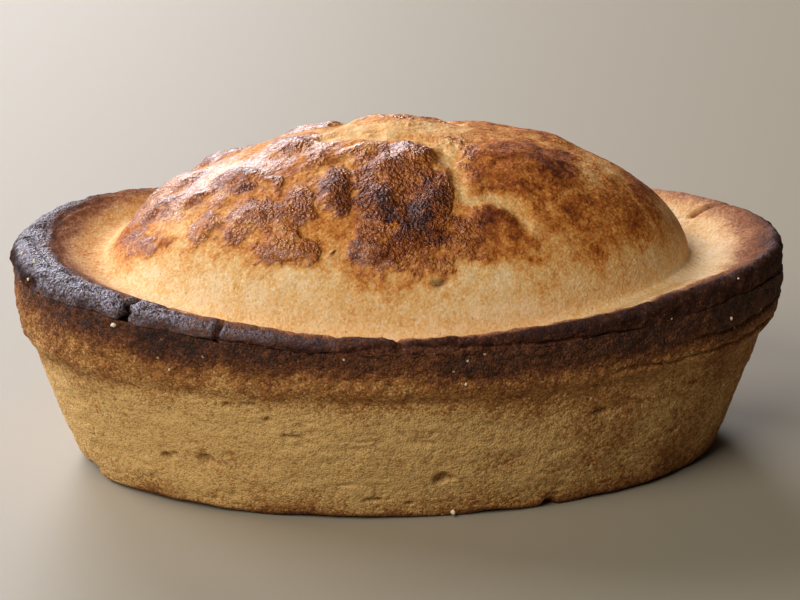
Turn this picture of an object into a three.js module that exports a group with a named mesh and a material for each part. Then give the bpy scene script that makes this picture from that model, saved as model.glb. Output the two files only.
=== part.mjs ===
// Oval custard tart of shortcrust pastry, baked shut: a boat-shaped case filled to the brim and a
// domed lid whose edge has baked onto the case and forms the rim.
// Millimetres, +Z up, X along the length, front towards -Y, origin in the middle of the flat base.
import * as THREE from 'three';

const { clamp, degToRad, lerp, smoothstep } = THREE.MathUtils;

// Driving dimensions: plan
const RIM_HALF = { length: 55, width: 34.5 }; // outermost edge of the rim
const BASE_HALF = { length: 45.8, width: 27.5 }; // foot of the wall
const RIM_WAVE = 0.5; // how far the rim's edge wanders inwards

// Driving dimensions: heights, each one value round the rim with a few slow waves
const CREST = { mean: 30.9, saddle: 1.7, lean: 0.8, quarter: 0.5, twist: 0.6 }; // top of the rim
const LIP = { mean: 20.2, saddle: -0.4 }; // where the tin's lip ended and the dough bulged over it
const LID_EDGE = { mean: 2.8, saddle: 0.95, lean: 0.65 }; // thickness of the lid that shows at the rim
const SEAT_HEIGHT = 20; // level under the lid's dome where case and lid meet

// Driving dimensions: wall and rim sections
const FOOT_ROUND = 1;
const SEAM_ROUND = 0.4;
const LIP_SHARE = 0.79; // share of the flare reached at the lip
const WALL_BULGE = 0.19;
const STEP = { from: 0.93, to: 1.07 }; // the bulge over the lip, in lip heights
const BAND = { foot: 1.05, full: 1.28, share: 0.94 }; // rim band above the step, in lip heights
const CREST_INSET = { mean: 2.1, lean: 0.5 }; // the crest is a rounder roll at the left than at the right
const CREST_RISE = 0.75; // height of the crest's rounding over its inset

// Driving dimensions: lid
const DOME = { x: -0.2, halfLength: 41.8, halfWidth: 28.2, top: 48 };
const DOME_POWER = { mean: 0.68, lean: 0.14, reach: 20 }; // fuller at the right end than at the left
const DOME_SKIRT = 6; // how far the dome's own surface sinks from its foot to the crest
const VALLEY_DROP = 3; // valley round the dome, below the crest
const VALLEY_BLEND = 2;
const RELIEF_EDGE = { none: 1.0, full: 0.82 }; // relief fades out towards the dome's foot

// Blisters of the egg-washed crust: x, y, half-length, half-width, turn in degrees, rise
const BLISTERS = [
  // the brown cap in the middle
  [0.5, -9.0, 6.0, 4.6, 0, 1.0], [-10.0, -13.2, 2.8, 4.2, 0, 0.9], [-3.5, -16.0, 3.2, 2.6, 0, 0.7],
  [-4.5, -20.3, 5.5, 2.4, 0, 0.7], [2.0, -17.5, 4.0, 4.0, 0, 0.9], [-5.0, -6.5, 4.0, 2.6, 0, 0.7],
  // the two on the right
  [16.5, -8.0, 9.0, 7.0, -10, 1.0], [11.0, -19.3, 5.0, 2.8, 0, 0.7],
  // the ridge of small ones towards the left end
  [-14.5, -0.5, 3.8, 4.0, 0, 0.9], [-22.5, -4.8, 5.5, 2.6, -36, 0.9], [-29.5, -3.8, 3.4, 2.4, -20, 0.7],
  [-34.0, -1.0, 4.5, 3.0, -15, 0.8], [-36.3, -7.0, 4.8, 1.9, -47, 0.7], [-31.0, 3.0, 4.5, 4.0, 0, 1.2],
  [-34.0, 6.5, 5.5, 6.0, 0, 1.0],
  // the patch at the left front
  [-22.0, -13.5, 3.6, 2.8, 0, 0.7], [-17.5, -18.2, 4.8, 1.6, -25, 0.6], [-28.3, -11.0, 2.8, 2.0, 0, 0.4],
  [-15.5, -13.5, 3.2, 2.6, 0, 0.5], [-12.0, -6.5, 4.6, 2.6, 0, 0.6],
  // the top and the back
  [-0.5, 5.0, 9.0, 7.0, 0, 1.0], [-12.0, 9.0, 6.0, 4.5, -15, 0.6], [14.5, 10.5, 5.5, 4.5, 10, 0.4],
  [21.5, 6.5, 6.0, 6.0, 0, 0.6], [-25.5, 9.0, 5.5, 3.5, -25, 1.1], [3.0, 17.0, 7.5, 3.8, 0, 0.7],
  [-14.0, 17.5, 6.0, 3.0, 12, 0.6], [18.5, 17.0, 5.5, 3.2, -12, 0.6],
];

// Furrows where the lid has cracked open between the blisters
const FURROW_PATHS = [
  [[-10.0, -1.0], [-4.0, -2.6], [2.5, -5.6], [5.8, -8.6], [7.2, -11.2], [7.2, -15.8]],
  [[7.2, -15.8], [12.0, -16.4], [15.5, -18.2]],
  [[-9.0, 3.0], [-4.0, 12.5], [6.0, 12.5], [9.0, 4.0]],
];
const FURROW = { halfWidth: 1.6, depth: 0.7 };

// Facets
const COLUMNS = 96;
const WALL_ROWS = 7;
const STEP_ROWS = 5;
const BAND_ROWS = 3;
const ROUND_ROWS = 3;
const FLANGE_ROWS = 9;
const DOME_ROWS = 24;
const DOME_ROW_POWER = 1.25; // above 1 the rows stand closer towards the foot

const smoothMax = (a, b, blend) => {
  const share = clamp(0.5 + (0.5 * (a - b)) / blend, 0, 1);
  return lerp(b, a, share) + blend * share * (1 - share);
};

// Heights and insets round the rim, by the angle from the right-hand end
const crestHeight = (angle) =>
  CREST.mean + CREST.saddle * Math.cos(2 * angle) - CREST.lean * Math.cos(angle)
  - CREST.quarter * Math.cos(4 * angle) - CREST.twist * Math.sin(2 * angle);
const lipHeight = (angle) => LIP.mean + LIP.saddle * Math.cos(2 * angle);
const lidEdge = (angle) =>
  LID_EDGE.mean + LID_EDGE.saddle * Math.cos(2 * angle) + LID_EDGE.lean * Math.cos(angle);
const seamHeight = (angle) => crestHeight(angle) - lidEdge(angle);
const crestInset = (angle) => CREST_INSET.mean - CREST_INSET.lean * Math.cos(angle);
const rimWave = (angle) =>
  RIM_WAVE * (0.5 - 0.5 * Math.cos(4 * angle)) * (0.6 + 0.4 * Math.sin(3 * angle + 1));

// A point on the oval plan, a share of the way from the foot to the rim and then moved inwards
function onPlan(angle, share, inset, height) {
  const halfLength = lerp(BASE_HALF.length, RIM_HALF.length, share) - inset;
  const halfWidth = lerp(BASE_HALF.width, RIM_HALF.width, share) - inset;
  return new THREE.Vector3(halfLength * Math.cos(angle), halfWidth * Math.sin(angle), height);
}

// The wall's flare: a nearly straight wall up to the lip, then a step out to the rim band
function flare(lipHeights) {
  const wall = LIP_SHARE * (lipHeights + WALL_BULGE * lipHeights * (1 - lipHeights));
  const band = lerp(BAND.share, 1, smoothstep(lipHeights, BAND.foot, BAND.full));
  return lerp(wall, band, smoothstep(lipHeights, STEP.from, STEP.to));
}

// The outside of wall and rim band at one height
function onWall(angle, height, inset) {
  const share = flare(height / lipHeight(angle));
  return onPlan(angle, share, inset + share * rimWave(angle), height);
}

// Dome without its relief: a power of the oval bowl over the valley
function domeHeight(x, reach, valley) {
  if (reach >= 1) return valley - DOME_SKIRT * (reach - 1);
  const power = DOME_POWER.mean - DOME_POWER.lean * Math.tanh((x - DOME.x) / DOME_POWER.reach);
  return valley + (DOME.top - valley) * Math.pow(1 - reach * reach, power);
}

function blisterRise(x, y, [cx, cy, halfLength, halfWidth, turn, rise]) {
  const cos = Math.cos(degToRad(turn));
  const sin = Math.sin(degToRad(turn));
  const along = ((x - cx) * cos + (y - cy) * sin) / halfLength;
  const across = ((y - cy) * cos - (x - cx) * sin) / halfWidth;
  return rise * Math.max(0, 1 - along * along - across * across) ** 2;
}

function distanceToPath(x, y, path) {
  const point = new THREE.Vector3(x, y, 0);
  const nearest = new THREE.Vector3();
  let shortest = Infinity;
  for (let i = 1; i < path.length; i += 1) {
    const stretch = new THREE.Line3(new THREE.Vector3(...path[i - 1]), new THREE.Vector3(...path[i]));
    stretch.closestPointToPoint(point, true, nearest);
    shortest = Math.min(shortest, nearest.distanceTo(point));
  }
  return shortest;
}

// Blisters and furrows together, fading out at the dome's foot
function relief(x, y, reach) {
  const fade = 1 - smoothstep(reach, RELIEF_EDGE.full, RELIEF_EDGE.none);
  const blisters = BLISTERS.reduce((sum, blister) => sum + blisterRise(x, y, blister), 0);
  const furrows = FURROW_PATHS.map((path) => 1 - smoothstep(distanceToPath(x, y, path), 0, FURROW.halfWidth));
  return fade * (blisters - FURROW.depth * Math.max(...furrows));
}

// The lid's upper face, by angle and by reach: 0 in the dome's middle, 1 at its foot, 2 on the crest
function onLid(angle, reach) {
  const inner = Math.min(reach, 1);
  const outer = Math.max(reach - 1, 0);
  const inset = crestInset(angle) + rimWave(angle);
  const domeX = DOME.x + inner * DOME.halfLength * Math.cos(angle);
  const domeY = inner * DOME.halfWidth * Math.sin(angle);
  const x = lerp(domeX, (RIM_HALF.length - inset) * Math.cos(angle), outer);
  const y = lerp(domeY, (RIM_HALF.width - inset) * Math.sin(angle), outer);
  const crest = crestHeight(angle);
  const valley = crest - VALLEY_DROP;
  const flange = lerp(valley, crest, smoothstep(outer, 0, 1));
  const height = smoothMax(domeHeight(x, reach, valley), flange, VALLEY_BLEND);
  return new THREE.Vector3(x, y, height + relief(x, y, reach));
}

// A ring of points, one for each column
function ring(pointAt) {
  return Array.from({ length: COLUMNS }, (_, column) => pointAt((2 * Math.PI * column) / COLUMNS));
}

// Rings from a pole at the bottom to a pole at the top, closed into one body. Each four-sided facet
// is cut along its shorter diagonal, so two bodies that share rings meet face to face.
function ringedBody(bottom, rings, top) {
  const points = [bottom, ...rings.flat(), top];
  const last = points.length - 1;
  const at = (row, column) => 1 + row * COLUMNS + (column % COLUMNS);
  const index = [];
  for (let column = 0; column < COLUMNS; column += 1) {
    index.push(0, at(0, column + 1), at(0, column));
    for (let row = 0; row + 1 < rings.length; row += 1) {
      const low = [at(row, column), at(row, column + 1)];
      const high = [at(row + 1, column), at(row + 1, column + 1)];
      const rising = points[low[0]].distanceTo(points[high[1]]);
      const falling = points[low[1]].distanceTo(points[high[0]]);
      if (rising < falling) index.push(low[0], low[1], high[1], low[0], high[1], high[0]);
      else index.push(low[0], low[1], high[0], low[1], high[1], high[0]);
    }
    index.push(last, at(rings.length - 1, column), at(rings.length - 1, column + 1));
  }
  const geometry = new THREE.BufferGeometry().setFromPoints(points);
  geometry.setIndex(index);
  geometry.computeVertexNormals();
  return geometry;
}

// Where case and lid meet: from the seam at the rim, down behind it and flat across the middle
const SEAT_INSETS = [
  { inset: 4, drop: 1 },
  { inset: 2, drop: 0.5 },
  { inset: SEAM_ROUND, drop: 0 },
];
const seatMiddle = new THREE.Vector3(0, 0, SEAT_HEIGHT);
const seatRings = SEAT_INSETS.map(({ inset, drop }) => ring((angle) => {
  const edge = onWall(angle, seamHeight(angle), inset);
  return edge.setZ(lerp(seamHeight(angle), SEAT_HEIGHT, drop));
}));

// Quarter-round steps: how far in and how far up at each row, as shares of the radius
const quarterRound = (rows) => Array.from({ length: rows }, (_, row) => {
  const turn = (0.5 * Math.PI * (row + 1)) / rows;
  return { inwards: 1 - Math.cos(turn), upwards: Math.sin(turn) };
});

function pastryCase() {
  const rings = [];
  rings.push(ring((angle) => onWall(angle, 0, FOOT_ROUND)));
  for (const { inwards, upwards } of quarterRound(2).reverse().slice(1)) {
    rings.push(ring((angle) => onWall(angle, FOOT_ROUND * (1 - upwards), FOOT_ROUND * inwards)));
  }
  const wallFoot = (angle) => FOOT_ROUND / lipHeight(angle);
  for (let row = 0; row < WALL_ROWS; row += 1) {
    rings.push(ring((angle) => {
      const level = lerp(wallFoot(angle), STEP.from, row / WALL_ROWS);
      return onWall(angle, level * lipHeight(angle), 0);
    }));
  }
  for (let row = 0; row < STEP_ROWS; row += 1) {
    const level = lerp(STEP.from, STEP.to, row / STEP_ROWS);
    rings.push(ring((angle) => onWall(angle, level * lipHeight(angle), 0)));
  }
  for (let row = 0; row <= BAND_ROWS; row += 1) {
    rings.push(ring((angle) => {
      const foot = STEP.to * lipHeight(angle);
      return onWall(angle, lerp(foot, seamHeight(angle) - SEAM_ROUND, row / BAND_ROWS), 0);
    }));
  }
  rings.push(...[...seatRings].reverse());
  return ringedBody(new THREE.Vector3(0, 0, 0), rings, seatMiddle);
}

function pastryLid() {
  const rings = [...seatRings];
  rings.push(ring((angle) => onWall(angle, seamHeight(angle) + SEAM_ROUND, 0)));
  rings.push(ring((angle) => {
    const height = crestHeight(angle) - CREST_RISE * crestInset(angle);
    return onPlan(angle, 1, rimWave(angle), height);
  }));
  for (const { inwards, upwards } of quarterRound(ROUND_ROWS)) {
    rings.push(ring((angle) => {
      const inset = crestInset(angle);
      const height = crestHeight(angle) - CREST_RISE * inset * (1 - upwards);
      return onPlan(angle, 1, rimWave(angle) + inset * inwards, height);
    }));
  }
  for (let row = 1; row <= FLANGE_ROWS; row += 1) {
    rings.push(ring((angle) => onLid(angle, 2 - row / FLANGE_ROWS)));
  }
  for (let row = 1; row < DOME_ROWS; row += 1) {
    rings.push(ring((angle) => onLid(angle, 1 - (row / DOME_ROWS) ** DOME_ROW_POWER)));
  }
  return ringedBody(seatMiddle, rings, onLid(0, 0));
}

function piece(name, geometry, colour, roughness) {
  const material = new THREE.MeshStandardMaterial({ color: colour, roughness, metalness: 0 });
  const mesh = new THREE.Mesh(geometry, material);
  mesh.name = name;
  return mesh;
}

const custardTart = new THREE.Group();
custardTart.add(piece('pastry_case', pastryCase(), '#b98a50', 0.9));
custardTart.add(piece('pastry_lid', pastryLid(), '#d8a860', 0.6));

export default custardTart;
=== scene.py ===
"""Custard tart: an oval shortcrust case baked shut under a domed, egg-washed lid.

Case and lid are polar surfaces: each point is a function of the angle round the tart and of a row that
climbs from the bottom of the piece to its top. Lengths here are millimetres, except in the properties
and the finished meshes, which are in metres.
"""
import math
from itertools import product

import bpy
import numpy as np
from bpy.props import FloatProperty, FloatVectorProperty, PointerProperty
from bpy.types import Operator, Panel, PropertyGroup
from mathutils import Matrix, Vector


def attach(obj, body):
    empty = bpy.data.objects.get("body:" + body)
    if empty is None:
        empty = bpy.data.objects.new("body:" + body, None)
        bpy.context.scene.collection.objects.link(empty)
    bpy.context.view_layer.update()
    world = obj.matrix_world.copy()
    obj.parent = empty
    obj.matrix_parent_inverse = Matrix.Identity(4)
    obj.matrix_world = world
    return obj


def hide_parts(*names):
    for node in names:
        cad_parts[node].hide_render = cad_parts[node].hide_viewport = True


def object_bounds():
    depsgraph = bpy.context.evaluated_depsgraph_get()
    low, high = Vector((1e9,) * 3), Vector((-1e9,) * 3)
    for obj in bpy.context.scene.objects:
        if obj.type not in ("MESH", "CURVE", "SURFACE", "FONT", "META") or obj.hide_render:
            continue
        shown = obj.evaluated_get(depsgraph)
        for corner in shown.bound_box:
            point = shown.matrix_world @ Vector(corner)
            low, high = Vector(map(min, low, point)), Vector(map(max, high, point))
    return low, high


bl_info = {
    "name": "Custard Tart",
    "version": (1, 0, 0),
    "blender": (4, 5, 0),
    "location": "View3D > Sidebar > Tart",
    "description": "Builds a baked custard tart: case, lid, crumbs and stage",
    "category": "Add Mesh",
}

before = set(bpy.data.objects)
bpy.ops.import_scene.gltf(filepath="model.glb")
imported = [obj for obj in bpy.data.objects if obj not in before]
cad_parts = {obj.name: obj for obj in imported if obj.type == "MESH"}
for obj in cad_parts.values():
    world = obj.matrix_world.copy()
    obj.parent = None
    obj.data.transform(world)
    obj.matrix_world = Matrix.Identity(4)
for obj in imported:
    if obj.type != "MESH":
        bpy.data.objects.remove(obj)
CAD_LOW, CAD_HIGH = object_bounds()
CAD_HALF = (CAD_HIGH - CAD_LOW) / 2
MM = 0.001

# Heights round the rim, each one value with a few slow waves
CREST = {"mean": 30.9, "saddle": 1.7, "lean": 0.8, "quarter": 0.5, "twist": 0.6}
LIP = {"mean": 20.2, "saddle": -0.4}
LID_EDGE = {"mean": 2.8, "saddle": 0.95, "lean": 0.65}
SEAT_HEIGHT = 20.0
SEAT_INSETS = ((4.0, 1.0), (2.0, 0.5))

# Wall and rim sections
BASE_HALF = (45.8, 27.5)
FOOT_ROUND = 1.0
FOOT_LIFT = {"height": 0.4, "spread": 0.1, "from": 3.0, "to": 0.3}
SEAM_ROUND = {"open": 0.26, "baked": 0.04}
SEAM_BAKED = {"angle": 283.0, "half_width": 25.0, "fade": 12.0}
LIP_SHARE = 0.79
WALL_BULGE = 0.19
STEP = (0.93, 1.07)
BAND = {"foot": 1.05, "full": 1.28, "share": 0.94}
CREST_INSET = {"mean": 2.1, "lean": 0.5}
CREST_RISE = 0.75
RIM_WAVE = {"height": 0.5, "even": 0.6, "swing": 0.4, "turn": 1.0}

# Lid
DOME_TOP = 48.0
DOME = {"x": -0.2, "half_length": 41.8, "half_width": 28.2}
DOME_POWER = {"mean": 0.68, "lean": 0.14, "reach": 20.0}
DOME_SKIRT = 6.0
VALLEY_DROP = 3.0
VALLEY_BLEND = 2.0
RELIEF_EDGE = (1.0, 0.82)
BROWNING_EDGE = (1.02, 0.90)
SMOOTH_SIDE = {"from": 6.0, "to": 11.0, "share": 0.14}
UNROLLED_RADIUS = 12.0

# Blisters of the egg-washed crust: x, y, half-length, half-width, turn in degrees, rise, browning
BLISTERS = (
    # the brown cap in the middle
    (0.5, -9.0, 6.0, 4.6, 0, 0.9, 0.47), (-10.0, -13.2, 2.8, 4.2, 0, 0.8, 0.57),
    (-3.5, -16.0, 3.2, 2.6, 0, 0.6, 0.70), (-4.5, -20.3, 5.5, 2.4, 0, 0.6, 0.52),
    (2.0, -17.5, 4.0, 4.0, 0, 0.8, 0.68), (-5.0, -6.5, 4.0, 2.6, 0, 0.7, 0.36),
    # the two on the right
    (16.5, -8.0, 9.0, 7.0, -10, 1.0, 0.53), (11.0, -19.3, 5.0, 2.8, 0, 0.45, 0.50),
    # the ridge of small ones towards the left end
    (-15.3, 0.0, 4.6, 4.4, 0, 1.0, 0.46), (-22.5, -5.6, 5.8, 2.9, -34, 1.0, 0.46),
    (-29.5, -4.4, 3.6, 2.6, -20, 0.8, 0.41), (-34.0, -1.0, 4.5, 3.0, -15, 0.8, 0.46),
    (-36.3, -7.0, 4.8, 1.9, -47, 0.6, 0.42), (-31.0, 3.0, 4.5, 4.0, 0, 1.2, 0.44),
    (-34.0, 6.5, 5.5, 6.0, 0, 1.0, 0.42),
    # the patch at the left front
    (-22.0, -13.3, 4.8, 3.4, 0, 0.6, 0.50), (-17.5, -18.2, 5.4, 2.1, -25, 0.5, 0.46),
    (-28.3, -11.0, 3.2, 2.2, 0, 0.4, 0.40), (-16.4, -14.2, 4.4, 3.2, 0, 0.4, 0.48),
    (-12.0, -6.5, 4.6, 2.6, 0, 0.6, 0.39),
    # the top and the back
    (-0.5, 5.0, 9.0, 7.0, 0, 1.0, 0.30), (-12.0, 9.0, 6.0, 4.5, -15, 0.6, 0.48),
    (14.5, 10.5, 5.5, 4.5, 10, 0.4, 0.50), (21.5, 6.5, 6.0, 6.0, 0, 0.6, 0.46),
    (-25.5, 9.0, 5.5, 3.5, -25, 1.1, 0.48), (3.0, 17.0, 7.5, 3.8, 0, 0.7, 0.58),
    (-14.0, 17.5, 6.0, 3.0, 12, 0.6, 0.54), (18.5, 17.0, 5.5, 3.2, -12, 0.6, 0.52),
)

# Browned patches without a rise of their own: x, y, half-length, half-width, turn in degrees, browning
TANNED = (
    # broad and light
    (-1.0, -13.0, 12.0, 11.5, 0, 0.40), (15.0, -9.0, 14.0, 13.0, -10, 0.40),
    (-20.0, -10.0, 13.0, 8.5, -10, 0.36), (-28.0, -3.0, 13.0, 8.5, -15, 0.33),
    (-13.0, -3.0, 9.0, 9.0, 0, 0.37), (27.0, -11.0, 10.0, 11.0, 0, 0.40),
    (14.0, 10.0, 19.0, 13.0, 0, 0.40), (-20.0, 12.0, 17.0, 11.0, 0, 0.38),
    (34.0, 5.0, 6.0, 8.5, 0, 0.52), (24.0, -17.0, 13.0, 8.5, 12, 0.28), (0.5, 5.0, 6.5, 4.2, 0, 0.40),
    # The patches at the right end, 35.0, -7.0 here and 34.4, -4.0 below, are partly browning and partly
    # painted shade where the dome turns away from the light
    (35.0, -7.0, 5.0, 10.0, 0, 0.33), (-37.5, -1.0, 5.0, 7.0, 0, 0.30),
    (-40.5, -3.5, 5.0, 7.0, 0, 0.46),
    # dark and small
    (-22.4, -8.4, 2.4, 1.2, -20, 0.60), (-18.3, -8.2, 1.8, 1.2, -30, 0.54),
    (-9.2, -15.8, 1.8, 1.5, 0, 0.70), (-6.4, -16.0, 1.6, 1.6, 0, 0.68),
    (-3.4, -16.8, 2.2, 2.0, 0, 0.78), (0.8, -18.4, 3.4, 3.2, 0, 0.82), (-1.0, -20.8, 2.8, 1.6, 0, 0.72),
    (3.0, -20.4, 3.0, 2.4, 0, 0.70), (3.2, -14.4, 3.0, 4.2, 8, 0.58), (6.5, -20.6, 4.0, 2.4, 0, 0.47),
    (14.0, -21.8, 5.0, 1.4, 0, 0.40), (-5.6, -12.6, 3.0, 3.0, 0, 0.50),
    (-0.5, -11.8, 5.0, 4.2, 0, 0.50), (-0.5, -21.6, 4.6, 1.8, 0, 0.64),
    (-1.0, -22.6, 9.0, 2.0, 0, 0.42), (12.6, -19.4, 3.6, 2.2, 0, 0.58), (20.0, -9.0, 5.2, 4.2, 0, 0.60),
    (17.8, -4.0, 4.6, 4.0, 0, 0.57), (13.6, -12.6, 3.6, 3.2, 0, 0.55), (22.4, -3.2, 3.0, 2.6, 0, 0.52),
    (15.0, -15.0, 2.2, 1.5, 0, 0.56), (10.0, -19.0, 1.7, 1.3, 0, 0.68), (8.6, -21.2, 1.6, 1.0, 0, 0.58),
    (15.2, -20.7, 1.6, 1.0, 0, 0.54), (7.6, -22.4, 7.0, 1.5, 0, 0.42), (24.2, -13.0, 3.4, 2.6, 0, 0.50),
    # 34.4, -4.0: partly painted shade on the dome's right end
    (22.4, -15.4, 2.2, 0.8, -5, 0.52), (34.4, -4.0, 3.0, 6.4, 0, 0.54),
    (31.0, -10.5, 4.0, 3.6, 0, 0.39), (25.8, -19.6, 1.8, 1.4, 0, 0.48),
    (15.3, -22.4, 0.4, 0.3, 0, 0.90), (11.5, -14.8, 0.4, 0.3, 0, 0.70),
    (-11.6, -20.8, 0.35, 0.3, 0, 0.70), (-29.0, -1.4, 1.8, 1.8, 0, 0.42),
)

# Patches that stayed pale: x, y, half-length, half-width, turn in degrees, how much browning they lack
PALE = (
    (25.6, -7.0, 2.0, 3.4, 0, 0.5), (-1.5, -0.6, 9.5, 3.0, -6, 0.62), (-26.5, -1.0, 3.0, 1.4, 20, 0.35),
    (10.5, -16.4, 4.0, 1.1, -5, 0.36), (-1.6, -15.4, 0.9, 1.1, 0, 0.3), (6.0, -6.2, 1.6, 1.6, 0, 0.5),
)

# Patches where the egg wash lies thick: x, y, half-length, half-width, turn in degrees, gloss
GLAZED = (
    (-26.0, -3.4, 11.0, 5.0, -14, 1.0), (-15.0, -1.4, 7.0, 4.0, 0, 0.95),
    (-31.0, 2.5, 8.0, 4.5, -10, 0.95), (-5.5, -7.6, 4.6, 2.4, 0, 0.95), (-5.6, -20.8, 3.6, 1.6, 0, 0.9),
    (2.0, -6.6, 3.6, 2.0, 0, 0.7),
)

# Furrows where the lid has cracked open between the blisters
FURROW_PATHS = (
    ((-10.0, -1.0), (-4.0, -2.6), (2.5, -5.6), (5.8, -8.6), (7.2, -11.2), (7.2, -15.8)),
    ((7.2, -15.8), (12.0, -16.4), (15.5, -18.2)),
    ((-9.0, 3.0), (-4.0, 12.5), (6.0, 12.5), (9.0, 4.0)),
)
FURROW = {"half_width": 1.6, "depth": 0.45, "pale": 0.50}

# The slit near the front of the dome: x, y, half-length, half-width, turn in degrees; and its depth
DOME_SLIT = (3.0, -24.9, 1.6, 0.36, 3)
SLIT_DEPTH = 0.9

# The crease across the flange at the right
CREASE_PATH = ((44.5, 11.2), (47.5, 12.0), (52.5, 12.4))
CREASE = {"half_width": 1.0, "depth": 0.6, "browning": 0.60}

# Pits in the wall: angle in degrees, height, half-width, half-height, depth
WALL_PITS = (
    (224.8, 8.0, 0.9, 1.1, 1.1), (226.6, 8.6, 0.6, 0.5, 0.6), (233.4, 8.4, 1.5, 1.2, 1.1),
    (273.5, 6.9, 1.4, 1.3, 1.2), (243.6, 18.7, 0.9, 0.5, 0.6), (239.6, 18.4, 0.5, 0.6, 0.5),
    (299.2, 15.2, 1.6, 0.8, 0.6), (249.4, 13.8, 1.1, 0.4, 0.6), (246.2, 16.3, 0.9, 0.4, 0.5),
    (318.0, 9.0, 0.9, 0.6, 0.5), (262.0, 3.4, 2.2, 0.5, 0.6), (268.0, 2.6, 1.6, 0.4, 0.5),
    (62.0, 9.0, 1.3, 1.0, 0.9), (118.0, 12.5, 1.0, 0.8, 0.7), (95.0, 6.0, 1.4, 0.9, 0.8),
    (20.0, 14.0, 0.9, 0.7, 0.6), (197.5, 2.6, 0.5, 2.2, 0.8),
)
PIT_EDGE = (1.0, 0.35)

# Cracks between the wall's flakes, and the shade under the lip
CRACK = {"half_width": 0.14, "depth": 0.20}
LIP_SHADE = {"share": 0.95, "half_width": 0.6}

# How dark the painted shade in each kind of hollow gets
HOLLOW_SHADE = {
    "crack": 0.4, "foot": 0.8, "pit": 0.55, "lip": 0.35, "groove": 0.5, "crease": 0.30, "strip": 0.7,
    "break": 0.8,
}

# Bites out of the bottom edge: angle in degrees, half-width, lift
FOOT_NOTCHES = (
    (198.2, 1.4, 1.8), (196.0, 2.4, 1.5), (190.0, 5.0, 1.1), (293.6, 1.6, 0.9), (64.0, 2.2, 0.8),
    (141.0, 2.0, 0.9),
)

# Where the crest sank a little, by angle in degrees
SAG = {"from": 284.0, "to": 352.0, "fade": 16.0, "depth": 0.6}

# Breaks across the lid's edge: angle in degrees, half-width, depth
RIM_BREAKS = (
    (222.8, 0.75, 1.8), (239.2, 0.45, 0.9), (265.9, 0.5, 0.5), (58.0, 0.9, 1.0), (128.0, 0.8, 0.9),
)

# Grooves along the outside of the rim at the right: height over the lip, first and last angle, depth
BAND_GROOVES = ((1.2, 296.0, 352.0, 0.55), (3.6, 310.0, 356.0, 0.55), (2.2, 8.0, 60.0, 0.40))
GROOVE = {"half_width": 0.55, "fade": 8.0}

# Baking of the rim, read at angles round it in degrees. Charring of the lid: how far in it reaches, how
# dark it is and how far in it is full; then the depth of the dark strip under the crest, and the grey
# ash, which is partly painted sheen on the char
CHAR_REACH = (
    (0, 13.0), (25, 12.0), (50, 10.0), (90, 8.0), (125, 7.5), (145, 10.0), (165, 12.8), (185, 12.2),
    (205, 10.8), (222, 8.4), (235, 6.0), (255, 4.0), (270, 3.4), (300, 3.8), (330, 7.6), (348, 13.0),
)
CHAR_DEPTH = (
    (0, 0.61), (12, 0.52), (26, 0.32), (48, 0.21), (75, 0.27), (110, 0.50), (130, 0.60), (150, 0.74),
    (175, 0.86), (205, 0.88), (222, 0.76), (236, 0.62), (252, 0.62), (264, 0.58), (274, 0.62),
    (284, 0.70), (300, 0.71), (330, 0.61), (348, 0.66),
)
CHAR_FULL = (
    (0, 0.6), (50, 0.2), (125, 0.4), (145, 1.2), (165, 2.0), (185, 2.8), (205, 3.2), (222, 2.6),
    (235, 1.8), (255, 1.6), (270, 1.6), (300, 1.0), (330, 0.6),
)
EDGE_STRIP = (
    (0, 4.0), (200, 4.0), (225, 3.4), (240, 1.9), (256, 1.5), (264, 0.6), (272, 0.4), (290, 2.0),
    (310, 4.0),
)
ASH_AND_SHEEN = (
    (0, 0.32), (22, 0.1), (60, 0.0), (140, 0.25), (160, 0.7), (190, 1.0), (220, 1.0), (242, 0.58),
    (256, 0.22), (275, 0.02), (315, 0.12), (338, 0.34),
)
# The tan inside the charring: how far in it reaches and how dark it is
RIM_TAN_REACH = (
    (0, 11.5), (40, 10.0), (90, 8.0), (140, 16.0), (180, 17.0), (205, 13.0), (225, 9.0), (270, 5.0),
    (330, 7.0),
)
RIM_TAN = (
    (0, 0.46), (30, 0.46), (60, 0.38), (120, 0.38), (150, 0.43), (190, 0.47), (230, 0.32), (300, 0.26),
)
# The case's rim band: how dark it is at the seam, and how much lower the dark begins
BAND_TOAST = (
    (0, 0.70), (30, 0.64), (90, 0.62), (150, 0.60), (180, 0.60), (205, 0.66), (225, 0.70), (245, 0.69),
    (265, 0.61), (285, 0.66), (310, 0.71), (330, 0.70), (345, 0.66),
)
BAND_DEEP = ((0, 0.12), (60, 0.05), (150, 0.0), (220, 0.0), (255, 0.08), (285, 0.22), (340, 0.22))
EDGE_TOAST = 0.52
# The right-hand toast darkens the wall's right side, partly toasting and partly painted shade; the foot
# edge toast darkens the lowest few millimetres, partly toasting and partly painted contact shadow
CASE_TOAST = {"golden": 0.28, "foot": 0.17, "foot_edge_toast_and_shade": 0.12, "right": 0.18}

# Browning of the lid away from the rim
LID_TONE = 0.07
DOME_GOLD = {"browning": 0.30, "from": 0.90, "to": 0.66}
LEFT_VALLEY = {"browning": 0.14, "turn": (0.86, 0.99), "inside": (0.80, 0.97), "outside": (1.4, 1.1)}
GLOSSY = (0.31, 0.47)

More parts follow.
